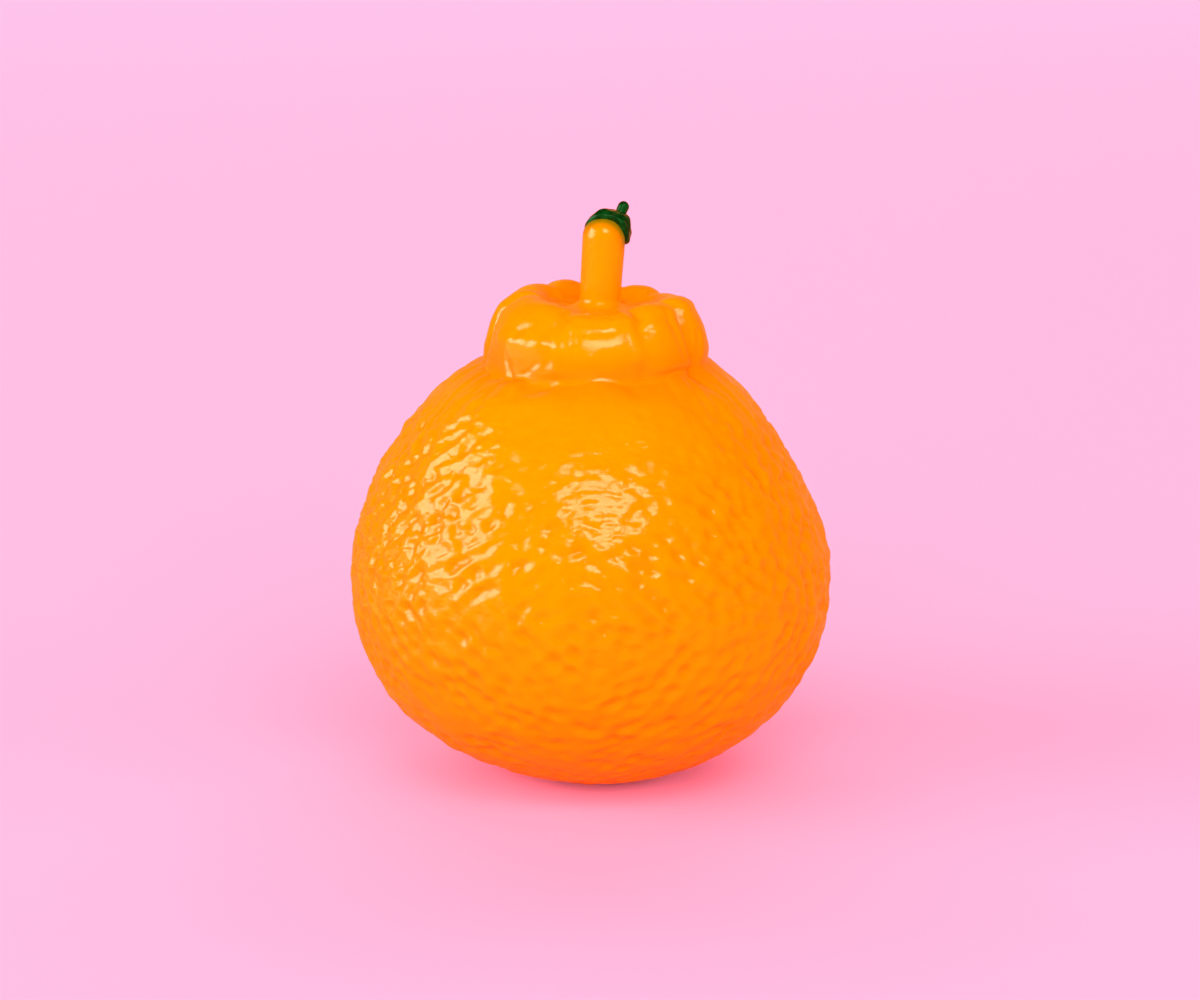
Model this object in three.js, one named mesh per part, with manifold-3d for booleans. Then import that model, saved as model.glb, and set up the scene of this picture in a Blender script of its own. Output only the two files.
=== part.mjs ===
// A necked mandarin orange, picked and standing on its own small flat spot.
//
// The fruit is one solid: a pear-shaped body with a pebbled rind, a lobed collar of rind folded
// over the shoulder, a shallow dish in the collar, and a smooth round peg that stands in the dish.
// The calyx is the second solid: a knobbly green cup on the back of the peg's domed tip, with the
// stub of the stalk grown from it.
//
// Millimetres, +Z up, and the front faces -Y. The origin lies on the flat spot, right under the
// middle of the widest ring.

import * as THREE from 'three';
import Module from 'manifold-3d';
import { mergeVertices } from 'three/addons/utils/BufferGeometryUtils.js';

const wasm = await Module();
wasm.setup();

// Driving dimensions of the fruit.
const BODY_RADIUS = 43;
const WAIST_HEIGHT = 37.1;
const FLAT_SPOT_RADIUS = 7;
const CREASE_RADIUS = 19.9;
const CREASE_HEIGHT = 76.2;
const COLLAR_RADIUS = 20.1;
const COLLAR_BULGE_HEIGHT = 78.4;
const RIM_RADIUS = 13.4;
const RIM_HEIGHT = 87.7;
const DISH_RADIUS = 8.2;
const DISH_HEIGHT = 85.4;
const PEG_RADIUS = 3.62;
const PEG_FILLET = 1.7;
const DOME_RADIUS = 3.78;
const DOME_HEIGHT = 97.8;

// How far the fruit's axis wanders to the right on its way up.
const BASE_SHIFT = 1.0;
const SHOULDER_SHIFT = -0.4;
const COLLAR_SHIFT = 1.0;
const PEG_SHIFT = 1.7;
const PEG_SLOPE = 0.066;

// Driving dimensions of the calyx.
const CUP_GAP = 0.3;
const CUP_WALL = 0.7;
const CUP_POLE = new THREE.Vector3(0.33, 0.66, 0.68).normalize();
const CUP_REACH = 71;
const CUP_DROOP = 12;
const CUP_LEAN = 8;
const CUP_HUMP = 1.1;
const HUMP_POLE = new THREE.Vector3(0.5, 0.4, 0.77).normalize();
const HUMP_SPREAD = 35;
const SEPALS = 5;
const STUB_ROOT = new THREE.Vector3(0.57, 0.6, 0.57).normalize();
const STUB_AXIS = new THREE.Vector3(0.3, 0.33, 0.89).normalize();
const STUB_NECK_RADIUS = 0.86;
const STUB_HEAD_RADIUS = 1.0;
const STUB_LENGTH = 3.4;

// The collar's folds, by the angle from the front, positive to the right. A fold is cut to its
// share of FOLD_DEPTH at the collar's foot and at its rim, and runs on down the shoulder.
const FOLD_DEPTH = 2.3;
const FOLD_RUN = 5;
const RIM_DROP = 1.5;
const FOLDS = [
  { at: -167, foot: 0.5, rim: 0.5, width: 6 },
  { at: -136, foot: 0.6, rim: 0.5, width: 6 },
  { at: -105, foot: 0.5, rim: 0.5, width: 6 },
  { at: -80, foot: 0.45, rim: 0.8, width: 5 },
  { at: -23, foot: 0.1, rim: 0.4, width: 5 },
  { at: 25, foot: 0.2, rim: 0.6, width: 5 },
  { at: 61, foot: 0.9, rim: 0.9, width: 5 },
  { at: 97, foot: 0.7, rim: 0.6, width: 6 },
  { at: 131, foot: 0.6, rim: 0.5, width: 6 },
  { at: 162, foot: 0.5, rim: 0.5, width: 6 },
];

// How high each lobe's rim stands over RIM_HEIGHT, how far it swells past the collar's outline, and
// how far the crease under it is dropped.
const LOBES = [
  { at: -150, lift: 0.8, swell: 0.0, drop: 0.2 },
  { at: -120, lift: 0.7, swell: 0.3, drop: 0.0 },
  { at: -90, lift: 0.8, swell: -0.3, drop: 0.0 },
  { at: -45, lift: 0.1, swell: 0.2, drop: 1.3 },
  { at: 0, lift: -1.6, swell: 0.0, drop: 0.6 },
  { at: 43, lift: -0.1, swell: 0.2, drop: 0.5 },
  { at: 79, lift: 0.1, swell: 0.1, drop: 0.0 },
  { at: 114, lift: -0.9, swell: 0.1, drop: -0.3 },
  { at: 147, lift: -0.2, swell: 0.0, drop: 0.2 },
  { at: 178, lift: 0.4, swell: 0.2, drop: 0.0 },
];

// The pits of the rind, fewer and wider than on the real fruit so that the facets can show them.
const PIT_SPACING = 6.4;
const PIT_DEPTH = 0.42;
const PIT_SPREAD = 2.1;
const PIT_SEED = 7;

// How far apart the facets' corners lie on each stretch of the outline.
const FACET_EDGE = { rind: 2.6, collar: 1.7, dish: 1.6, peg: 1.4 };
const FEWEST_SIDES = 8;

const { degToRad, lerp, smoothstep } = THREE.MathUtils;
const at = (r, z) => new THREE.Vector2(r, z);

// A random number in 0..1 each time it is called, the same ones on every run.
function seededRandom(seed) {
  let state = seed;
  return () => {
    state = (state * 1664525 + 1013904223) % 4294967296;
    return state / 4294967296;
  };
}

// The outline in the half plane, from the flat spot's edge up to the tip of the dome.
function outlineCurves() {
  const waist = at(BODY_RADIUS, WAIST_HEIGHT);
  const crease = at(CREASE_RADIUS, CREASE_HEIGHT);
  const bulge = at(COLLAR_RADIUS, COLLAR_BULGE_HEIGHT);
  const rim = at(RIM_RADIUS, RIM_HEIGHT);
  const dish = at(DISH_RADIUS, DISH_HEIGHT);
  const foot = at(PEG_RADIUS, DISH_HEIGHT + PEG_FILLET);
  const bezier = (from, pull1, pull2, to) => new THREE.CubicBezierCurve(from, pull1, pull2, to);
  return [
    ['rind', bezier(at(FLAT_SPOT_RADIUS, 0), at(20.7, 2.9), at(BODY_RADIUS, 11), waist)],
    ['rind', bezier(waist, at(BODY_RADIUS, 52), at(29.4, 71.4), crease)],
    ['collar', bezier(crease, at(20.1, 76.5), at(COLLAR_RADIUS, 77.2), bulge)],
    ['collar', bezier(bulge, at(19.4, 82.5), at(17.6, RIM_HEIGHT), rim)],
    ['dish', bezier(rim, at(10.6, RIM_HEIGHT), at(10.6, DISH_HEIGHT), dish)],
    ['dish', bezier(dish, at(5.6, DISH_HEIGHT), at(PEG_RADIUS, DISH_HEIGHT + 0.4), foot)],
    ['peg', new THREE.LineCurve(foot, at(DOME_RADIUS, DOME_HEIGHT))],
    ['peg', new THREE.EllipseCurve(0, DOME_HEIGHT, DOME_RADIUS, DOME_RADIUS, 0, Math.PI / 2)],
  ];
}

// The outline as stations, each with its own stretch, radius, height and outward normal.
function outlineStations() {
  const stations = [];
  for (const [stretch, curve] of outlineCurves()) {
    const rowHeight = FACET_EDGE[stretch] * Math.sin(Math.PI / 3);
    const steps = Math.max(2, Math.round(curve.getLength() / rowHeight));
    for (let i = stations.length ? 1 : 0; i <= steps; i += 1) {
      const { x: r, y: z } = curve.getPointAt(i / steps);
      const tangent = curve.getTangentAt(i / steps);
      stations.push({ stretch, r, z, normal: at(tangent.y, -tangent.x) });
    }
  }
  return stations;
}

// The sideways place of the fruit's axis at a height.
function axisShift(z) {
  const base = BASE_SHIFT * (1 - smoothstep(z, 1, 12));
  const shoulder = SHOULDER_SHIFT * smoothstep(z, 40, 55) * (1 - smoothstep(z, 62, 72));
  const collar = COLLAR_SHIFT * smoothstep(z, CREASE_HEIGHT - 3, CREASE_HEIGHT + 2);
  const peg = (PEG_SHIFT - COLLAR_SHIFT) * smoothstep(z, DISH_HEIGHT - 0.5, DISH_HEIGHT + PEG_FILLET);
  const slope = PEG_SLOPE * Math.max(0, Math.min(z, DOME_HEIGHT) - DISH_HEIGHT - PEG_FILLET);
  return base + shoulder + collar + peg + slope;
}

// The shortest way round from one angle to another, in degrees.
const turnBetween = (from, to) => THREE.MathUtils.euclideanModulo(to - from + 180, 360) - 180;

// How deep the folds cut at an angle, as a share of FOLD_DEPTH. The rise is 0 at the collar's foot
// and 1 at its rim.
function foldShare(angle, rise) {
  return FOLDS.reduce((sum, fold) => {
    const off = turnBetween(fold.at, angle) / fold.width;
    return sum + lerp(fold.foot, fold.rim, rise) / Math.cosh(1.6 * off);
  }, 0);
}

// One of the lobes' values at an angle, eased from each lobe's middle to the next one's.
function lobeValue(key, angle) {
  const past = (lobe) => turnBetween(lobe.at, angle);
  const next = LOBES.findIndex((lobe) => past(lobe) < 0 && past(lobe) > -60);
  const right = LOBES[next];
  const left = LOBES.at(next - 1);
  const share = turnBetween(left.at, angle) / turnBetween(left.at, right.at);
  return lerp(left[key], right[key], smoothstep(share, 0, 1));
}

// The collar's part in the shape at a station: 0 low on the body and on the peg, 1 up the collar.
function collarShare({ stretch, r, z }) {
  if (stretch === 'rind') return 0.8 * smoothstep(z, CREASE_HEIGHT - FOLD_RUN, CREASE_HEIGHT);
  if (stretch === 'collar') return lerp(0.8, 1, smoothstep(z, CREASE_HEIGHT, COLLAR_BULGE_HEIGHT));
  if (stretch === 'dish') return smoothstep(r, PEG_RADIUS + 1, RIM_RADIUS);
  return 0;
}

// The point of the smooth skin at a station and an angle in degrees from the front.
function skinPoint(station, angle) {
  const share = collarShare(station);
  const rise = smoothstep(station.z, CREASE_HEIGHT, RIM_HEIGHT);
  const fold = foldShare(angle, rise) * share;
  const swell = lobeValue('swell', angle) * share;
  const lift = lobeValue('lift', angle) * share * rise;
  const drop = lobeValue('drop', angle) * share * (1 - rise);
  const r = station.r + swell - FOLD_DEPTH * fold;
  const z = station.z + lift - drop - RIM_DROP * fold * rise;
  const turn = degToRad(angle);
  return new THREE.Vector3(axisShift(station.z) + r * Math.sin(turn), -r * Math.cos(turn), z);
}

// The outward direction at a station and an angle, taken from the outline alone.
function skinNormal(station, angle) {
  const turn = degToRad(angle);
  const { x: out, y: up } = station.normal;
  return new THREE.Vector3(out * Math.sin(turn), -out * Math.cos(turn), up);
}

// The middles of the rind's pits, spread by the golden angle over the body and jogged by the seed.
function pitCentres(stations) {
  const random = seededRandom(PIT_SEED);
  const goldenTurn = 180 * (3 - Math.sqrt(5));
  const rows = stations.filter((s) => s.stretch === 'rind');
  const centres = [];
  let angle = 0;
  let owed = 0;
  for (let i = 1; i < rows.length; i += 1) {
    const width = Math.hypot(rows[i].r - rows[i - 1].r, rows[i].z - rows[i - 1].z);
    const area = Math.PI * (rows[i].r + rows[i - 1].r) * width;
    for (owed += area / PIT_SPACING ** 2; owed >= 1; owed -= 1) {
      angle += goldenTurn + 6 * (random() - 0.5);
      const jog = random();
      const between = {
        ...rows[i],
        r: lerp(rows[i - 1].r, rows[i].r, jog),
        z: lerp(rows[i - 1].z, rows[i].z, jog),
      };
      centres.push(skinPoint(between, angle % 360));
    }
  }
  return centres;
}

// How far the pits sink the skin at a point. They fade out at the flat spot and under the collar.
function pitSink(point, station, centres) {
  if (station.stretch !== 'rind') return 0;
  const fade = smoothstep(station.r, FLAT_SPOT_RADIUS, FLAT_SPOT_RADIUS + 4)
    * (1 - 0.75 * smoothstep(station.z, 58, CREASE_HEIGHT - 3));
  const sum = centres.reduce((total, centre) => {
    const far = centre.distanceToSquared(point) / PIT_SPREAD ** 2;
    return far > 9 ? total : total + Math.exp(-far);
  }, 0);
  return PIT_DEPTH * fade * Math.min(1.2, sum);
}

// Rings of points joined into one closed skin between two end points. Neighbouring rings may have
// different numbers of points, each ring's points being in order round the axis.
function closedSkin(firstPole, rings, lastPole) {
  const positions = [firstPole, ...rings.flat(), lastPole].flatMap((p) => [p.x, p.y, p.z]);
  const starts = [];
  let count = 1;
  for (const ring of rings) {
    starts.push(count);
    count += ring.length;
  }
  const faces = [];
  const corner = (ring, i) => starts[ring] + (i % rings[ring].length);
  rings[0].forEach((_, i) => faces.push(0, corner(0, i + 1), corner(0, i)));
  for (let ring = 0; ring + 1 < rings.length; ring += 1) {
    const low = rings[ring].length;
    const high = rings[ring + 1].length;
    for (let i = 0, j = 0; i < low || j < high;) {
      if (j >= high || (i < low && (i + 1) / low <= (j + 1) / high)) {
        faces.push(corner(ring, i), corner(ring, i + 1), corner(ring + 1, j));
        i += 1;
      } else {
        faces.push(corner(ring, i), corner(ring + 1, j + 1), corner(ring + 1, j));
        j += 1;
      }
    }
  }
  const last = rings.length - 1;
  rings[last].forEach((_, i) => faces.push(corner(last, i), corner(last, i + 1), count));
  return new THREE.BufferGeometry()
    .setAttribute('position', new THREE.Float32BufferAttribute(positions, 3))
    .setIndex(faces);
}

function fruitGeometry() {
  const stations = outlineStations();
  const centres = pitCentres(stations);
  const top = DOME_HEIGHT + DOME_RADIUS;
  const rings = stations.filter((s) => s.z < top - 0.01).map((station) => {
    const edge = FACET_EDGE[station.stretch];
    const sides = Math.max(FEWEST_SIDES, Math.round((2 * Math.PI * station.r) / edge));
    return Array.from({ length: sides }, (_, k) => {
      const angle = (360 * k) / sides;
      const point = skinPoint(station, angle);
      const sink = pitSink(point, station, centres);
      return point.addScaledVector(skinNormal(station, angle), -sink);
    });
  });
  return closedSkin(new THREE.Vector3(BASE_SHIFT, 0, 0), rings, new THREE.Vector3(axisShift(top), 0, top));
}

// A manifold-3d solid from a closed geometry, and the way back.
function solidFrom(geometry) {
  const bare = geometry.clone();
  bare.deleteAttribute('normal');
  bare.deleteAttribute('uv');
  const merged = mergeVertices(bare, 1e-4);
  return new wasm.Manifold(new wasm.Mesh({
    numProp: 3,
    vertProperties: merged.attributes.position.array,
    triVerts: new Uint32Array(merged.index.array),
  }));
}

function geometryFrom(solid) {
  const mesh = solid.getMesh();
  return new THREE.BufferGeometry()
    .setAttribute('position', new THREE.BufferAttribute(new Float32Array(mesh.vertProperties), 3))
    .setIndex(new THREE.BufferAttribute(new Uint32Array(mesh.triVerts), 1));
}

// The point in a direction from the dome's centre that stands clear of the peg's skin: round the
// dome above its centre, and straight down the peg's side below it.
function offPeg(direction, clearance) {
  const radius = DOME_RADIUS + clearance;
  const reach = direction.clone().multiplyScalar(radius);
  if (direction.z < 0) {
    reach.setZ(0).setLength(radius).setZ(radius * Math.asin(direction.z));
  }
  const height = DOME_HEIGHT + reach.z;
  return new THREE.Vector3(axisShift(height) + reach.x, reach.y, height);
}

// The cup: a thin knobbly cap over the top and back of the dome, humped up round the stub's root. Its
// edge is a rounded oval that droops at both sides, and it has a slight blunt point at each sepal.
function cupGeometry() {
  const upright = new THREE.Quaternion().setFromUnitVectors(new THREE.Vector3(0, 1, 0), CUP_POLE);
  const sides = 40;
  const rows = 11;
  const reach = (turn) => degToRad(CUP_REACH + CUP_DROOP * Math.cos(2 * turn + 2.44)
    + CUP_LEAN * Math.cos(turn - 0.17) + 1.5 * Math.cos(SEPALS * turn));
  const knobs = (share, turn) => 0.16 * Math.sin(SEPALS * turn + 4 * share)
    + 0.12 * Math.sin(3 * turn - 7 * share + 0.8);
  const toward = (share, turn) => new THREE.Vector3()
    .setFromSphericalCoords(1, share * reach(turn), turn).applyQuaternion(upright);
  const hump = (share, turn) => CUP_HUMP
    * Math.exp(-((toward(share, turn).angleTo(HUMP_POLE) / degToRad(HUMP_SPREAD)) ** 2));
  const thinning = (share) => 1 - 0.6 * smoothstep(share, 0.75, 1);
  const wall = (share, turn) => thinning(share) * (CUP_WALL * lerp(0.8, 1, share) + hump(share, turn)
    + knobs(share, turn) * smoothstep(share, 0.05, 0.4));
  const place = (share, turn, thickness) => offPeg(toward(share, turn), CUP_GAP + thickness);
  const ring = (share, thickness) => Array.from({ length: sides }, (_, k) => {
    const turn = (2 * Math.PI * k) / sides;
    return place(share, turn, thickness(share, turn));
  });
  const shares = Array.from({ length: rows }, (_, i) => (i + 1) / rows);
  const inner = shares.map((share) => ring(share, () => 0));
  const outer = shares.map((share) => ring(share, wall)).reverse();
  return closedSkin(place(0, 0, 0), [...inner, ...outer], place(0, 0, wall(0, 0)));
}

// The stub of the stalk: a blunt finger with a flared root, a narrower neck and a round head.
function stubGeometry() {
  const head = at(0, STUB_LENGTH - STUB_HEAD_RADIUS);
  const outline = new THREE.Path();
  outline.moveTo(0, -0.4);
  outline.lineTo(STUB_NECK_RADIUS * 1.7, -0.4);
  outline.bezierCurveTo(STUB_NECK_RADIUS * 1.1, 0.4, STUB_NECK_RADIUS, 0.6, STUB_NECK_RADIUS, 1.1);
  outline.lineTo(STUB_HEAD_RADIUS, head.y);
  outline.absarc(0, head.y, STUB_HEAD_RADIUS, 0, Math.PI / 2, false);
  const stub = new THREE.LatheGeometry(outline.getPoints(6), 18);
  const lean = new THREE.Quaternion().setFromUnitVectors(new THREE.Vector3(0, 1, 0), STUB_AXIS);
  const root = offPeg(STUB_ROOT, CUP_GAP + CUP_WALL);
  return stub.applyQuaternion(lean).translate(root.x, root.y, root.z);
}

function calyxGeometry() {
  const dome = new THREE.SphereGeometry(DOME_RADIUS + CUP_GAP, 40, 28)
    .translate(axisShift(DOME_HEIGHT), 0, DOME_HEIGHT);
  const stub = solidFrom(stubGeometry()).subtract(solidFrom(dome));
  return geometryFrom(solidFrom(cupGeometry()).add(stub));
}

function namedMesh(name, geometry, color, roughness) {
  const mesh = new THREE.Mesh(geometry, new THREE.MeshStandardMaterial({ color, roughness, metalness: 0 }));
  mesh.name = name;
  return mesh;
}

const mandarin = new THREE.Group();
mandarin.add(namedMesh('fruit', fruitGeometry(), 0xff9200, 0.12));
mandarin.add(namedMesh('calyx', calyxGeometry(), 0x0d4018, 0.2));

export default mandarin;
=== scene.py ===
"""A necked mandarin orange standing on a pale pink sweep, in soft studio light."""

import math

import bpy
import numpy as np
from mathutils import Matrix, Vector


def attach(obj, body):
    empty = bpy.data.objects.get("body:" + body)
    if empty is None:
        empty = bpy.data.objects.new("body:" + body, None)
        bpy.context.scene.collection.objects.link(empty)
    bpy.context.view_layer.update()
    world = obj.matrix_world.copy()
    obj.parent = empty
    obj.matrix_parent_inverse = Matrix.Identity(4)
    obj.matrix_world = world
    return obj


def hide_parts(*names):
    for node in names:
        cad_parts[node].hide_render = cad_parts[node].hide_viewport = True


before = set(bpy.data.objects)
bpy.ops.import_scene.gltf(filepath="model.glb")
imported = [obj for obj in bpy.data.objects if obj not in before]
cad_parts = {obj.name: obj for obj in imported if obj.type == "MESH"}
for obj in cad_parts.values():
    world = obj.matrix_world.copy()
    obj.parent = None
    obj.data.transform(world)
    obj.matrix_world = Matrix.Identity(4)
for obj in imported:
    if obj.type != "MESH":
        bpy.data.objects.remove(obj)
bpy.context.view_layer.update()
scene = bpy.context.scene

MM = 0.001

# The fruit's driving dimensions, in millimetres, as in the solid model.
BODY_RADIUS = 43.0
WAIST_HEIGHT = 37.1
FLAT_SPOT_RADIUS = 7.0
CREASE_RADIUS = 19.9
CREASE_HEIGHT = 76.2
COLLAR_RADIUS = 20.1
COLLAR_BULGE_HEIGHT = 78.4
RIM_RADIUS = 13.4
RIM_HEIGHT = 87.7
DISH_RADIUS = 8.2
DISH_HEIGHT = 85.4
PEG_RADIUS = 3.62
PEG_FILLET = 1.7
DOME_RADIUS = 3.78
DOME_HEIGHT = 97.8

# How far the fruit's axis wanders to the right on its way up.
BASE_SHIFT = 1.0
SHOULDER_SHIFT = -0.4
COLLAR_SHIFT = 1.0
PEG_SHIFT = 1.7
PEG_SLOPE = 0.066

# How deep the collar's folds cut, how far they run on down the shoulder, how steep their sides are,
# and how far they lower the rim.
FOLD_DEPTH = 2.3
FOLD_RUN = 5.0
FOLD_STEEPNESS = 1.6
RIM_DROP = 1.5

# The lobes and folds have this share of their size where the shoulder meets the collar.
CREASE_SHARE = 0.8

# The lower and the upper edge of the hem, the narrow slope in the crease under the collar: out from
# the crease, and up from it.
HEM_LOW = (0.5, -0.45)
HEM_HIGH = (0.12, 0.25)

# The collar's folds: angle from the front in degrees, positive to the right, its share of the fold
# depth at the foot and at the rim, and its width in degrees.
FOLDS = [
    (-167, 0.5, 0.5, 6),
    (-136, 0.6, 0.5, 6),
    (-105, 0.5, 0.5, 6),
    (-80, 0.45, 0.8, 5),
    (-23, 0.1, 0.4, 5),
    (25, 0.2, 0.6, 5),
    (61, 0.9, 0.9, 5),
    (97, 0.7, 0.6, 6),
    (131, 0.6, 0.5, 6),
    (162, 0.5, 0.5, 6),
]

# The lobes between them: angle, lift of the rim, swell past the outline and drop of the crease.
LOBES = [
    (-150, 0.8, 0.0, 0.2),
    (-120, 0.7, 0.3, 0.0),
    (-90, 0.8, -0.3, 0.0),
    (-45, 0.1, 0.2, 1.3),
    (0, -1.6, 0.0, 0.6),
    (43, -0.1, 0.2, 0.5),
    (79, 0.1, 0.1, 0.0),
    (114, -0.9, 0.1, -0.3),
    (147, -0.2, 0.0, 0.2),
    (178, 0.4, 0.2, 0.0),
]

# Lines in the collar and under it: angle and height of both ends, half width and depth. A ridge has
# a depth below zero, and a dimple has both ends in one place.
STROKES = [
    (-58, 82.1, -29, 82.4, 1.4, -0.9),
    (-45, 83.2, -45, 83.2, 0.8, 0.25),
    (-35, 82.6, -35, 82.6, 0.8, 0.3),
    (-50, 79.4, -44, 75.6, 0.6, 0.36),
    (-31, 79.2, -38, 77.0, 0.5, 0.26),
    (-22.5, 83.6, -21.5, 79.0, 1.2, -0.38),
    (-48, 80.9, -28, 81.0, 1.8, -0.3),
    (-20, 82.4, -20, 82.4, 0.6, 0.3),
    (-13.5, 84.8, -11.5, 83.0, 0.6, 0.35),
    (-8, 82.4, 14, 83.2, 0.8, -0.03),
    (-10, 85.0, 10, 85.2, 0.5, 0.18),
    (-13, 87.2, 22, 86.6, 0.5, -0.2),
    (24, 84.8, 24, 80.0, 1.5, -0.7),
    (30, 84.3, 32, 84.1, 0.5, 0.2),
    (45, 86.0, 50, 79.5, 0.7, 0.35),
    (70, 82.0, 66, 78.0, 0.6, 0.45),
    (-49, 75.6, -36, 74.6, 0.9, -0.4),
    (-33, 75.2, -20, 75.6, 0.6, 0.2),
]
STROKES_FROM_HEIGHT = 70.0

# Waves round the collar: how many, how high, and where they start. Its foot wanders up and down with
# the first, and its lip comes and goes with the second.
FOOT_WAVES = [(9, 0.28, 1.2), (17, 0.13, 0.4)]
LIP_WAVES = [(5, 0.2, 3.6), (13, 0.12, 0.0)]
FOOT_REACH = 1.6
LIP_HEIGHT = 78.0
LIP_REACH = 1.2
LIP_SWELL = 0.05

# How far apart the skin's corners lie on each stretch of the outline, in millimetres: round it, and
# up it.
SKIN_EDGE = {"rind": 0.62, "hem": 0.3, "collar": 0.5, "dish": 0.5, "peg": 0.36}
SKIN_RISE = {"rind": 0.54, "hem": 0.135, "collar": 0.435, "dish": 0.435, "peg": 0.31}
FEWEST_SIDES = 10
CURVE_SAMPLES = 400

# How far the handles of a quarter circle's Bezier curve reach, as a share of its radius.
ARC_PULL = 0.5523


def smooth(x, low, high):
    """Rises from 0 to 1 between low and high, level at both ends."""
    t = np.clip((np.asarray(x, float) - low) / (high - low), 0.0, 1.0)
    return t * t * (3.0 - 2.0 * t)


def bell(x, middle, reach):
    """Is 1 at the middle and fades on both sides of it."""
    return np.exp(-(((x - middle) / reach) ** 2))


def mix(a, b, t):
    return a + (b - a) * t


def waves(rows, turn):
    """The sum of several waves round the fruit."""
    return sum(size * np.sin(count * turn + start) for count, size, start in rows)


def curve_points(controls, spacing):
    """Evenly spaced points of a Bezier curve of any degree, with their outward normals."""
    controls = np.array(controls, float)
    t = np.linspace(0.0, 1.0, CURVE_SAMPLES)[:, None]
    level = [np.repeat(c[None], len(t), 0) for c in controls]
    while len(level) > 1:
        level = [mix(a, b, t) for a, b in zip(level, level[1:])]
    fine = level[0]
    steps = np.linalg.norm(np.diff(fine, axis=0), axis=1)
    length = np.concatenate([[0.0], np.cumsum(steps)])
    count = max(2, round(length[-1] / spacing))
    want = np.linspace(0.0, length[-1], count + 1)
    points = np.stack([np.interp(want, length, fine[:, k]) for k in (0, 1)], 1)
    slope = np.gradient(fine, length, axis=0)
    slope = np.stack([np.interp(want, length, slope[:, k]) for k in (0, 1)], 1)
    normals = np.stack([slope[:, 1], -slope[:, 0]], 1)
    return points, normals / np.linalg.norm(normals, axis=1)[:, None]


def outline():
    """The fruit's outline from the flat spot's edge to the dome: stretch, radius, height, normal."""
    waist = (BODY_RADIUS, WAIST_HEIGHT)
    hem_low = (CREASE_RADIUS + HEM_LOW[0], CREASE_HEIGHT + HEM_LOW[1])
    hem_high = (CREASE_RADIUS + HEM_HIGH[0], CREASE_HEIGHT + HEM_HIGH[1])
    bulge = (COLLAR_RADIUS, COLLAR_BULGE_HEIGHT)
    rim = (RIM_RADIUS, RIM_HEIGHT)
    dish = (DISH_RADIUS, DISH_HEIGHT)
    foot = (PEG_RADIUS, DISH_HEIGHT + PEG_FILLET)
    neck = (DOME_RADIUS, DOME_HEIGHT)
    top = DOME_HEIGHT + DOME_RADIUS
    pull = ARC_PULL * DOME_RADIUS
    curves = [
        ("rind", [(FLAT_SPOT_RADIUS, 0), (20.7, 2.9), (BODY_RADIUS, 11), waist]),
        ("rind", [waist, (BODY_RADIUS, 52), (29.4, 71.4), hem_low]),
        ("hem", [hem_low, hem_high]),
        ("collar", [hem_high, (20.05, 76.7), (COLLAR_RADIUS, 77.3), bulge]),
        ("collar", [bulge, (19.4, 82.5), (17.6, RIM_HEIGHT), rim]),
        ("dish", [rim, (10.6, RIM_HEIGHT), (10.6, DISH_HEIGHT), dish]),
        ("dish", [dish, (5.6, DISH_HEIGHT), (PEG_RADIUS, DISH_HEIGHT + 0.4), foot]),
        ("peg", [foot, neck]),
        ("peg", [neck, (DOME_RADIUS, DOME_HEIGHT + pull), (pull, top), (0, top)]),
    ]
    rows = []
    for stretch, controls in curves:
        points, normals = curve_points(controls, SKIN_RISE[stretch])
        first = 1 if rows else 0
        rows += [(stretch, *p, *n) for p, n in zip(points[first:], normals[first:])]
    return rows


def axis_shift(z):
    """The sideways place of the fruit's axis at a height."""
    base = BASE_SHIFT * (1 - smooth(z, 1, 12))
    shoulder = SHOULDER_SHIFT * smooth(z, 40, 55) * (1 - smooth(z, 62, 72))
    collar = COLLAR_SHIFT * smooth(z, CREASE_HEIGHT - 3, CREASE_HEIGHT + 2)
    peg_foot = DISH_HEIGHT + PEG_FILLET
    peg = (PEG_SHIFT - COLLAR_SHIFT) * smooth(z, DISH_HEIGHT - 0.5, peg_foot)
    slope = PEG_SLOPE * np.maximum(0.0, np.minimum(z, DOME_HEIGHT) - peg_foot)
    return base + shoulder + collar + peg + slope


def fold_share(angle, rise):
    """How deep the folds cut, as a share of the fold depth. Each is a soft valley."""
    total = np.zeros_like(angle)
    for at, foot, rim, width in FOLDS:
        off = ((angle - at + 180) % 360 - 180) / width
        total += mix(foot, rim, rise) / np.cosh(FOLD_STEEPNESS * off)
    return total


def lobe_value(column, angle):
    """A value of the lobes, eased from each lobe's middle to the next one's."""
    at = np.array([lobe[0] for lobe in LOBES] + [LOBES[0][0] + 360], float)
    value = np.array([lobe[column] for lobe in LOBES] + [LOBES[0][column]], float)
    turn = (angle - at[0]) % 360 + at[0]
    i = np.clip(np.searchsorted(at, turn, side="right") - 1, 0, len(at) - 2)
    share = smooth((turn - at[i]) / (at[i + 1] - at[i]), 0, 1)
    return mix(value[i], value[i + 1], share)


def lobe_share(stretch, r, z):
    """How much of the collar's lobes and folds there is at a place on the outline."""
    if stretch == "rind":
        return CREASE_SHARE * smooth(z, CREASE_HEIGHT - FOLD_RUN, CREASE_HEIGHT)
    if stretch in ("hem", "collar"):
        return mix(CREASE_SHARE, 1.0, smooth(z, CREASE_HEIGHT, COLLAR_BULGE_HEIGHT))
    if stretch == "dish":
        return smooth(r, PEG_RADIUS + 1, RIM_RADIUS)
    return 0.0


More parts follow.
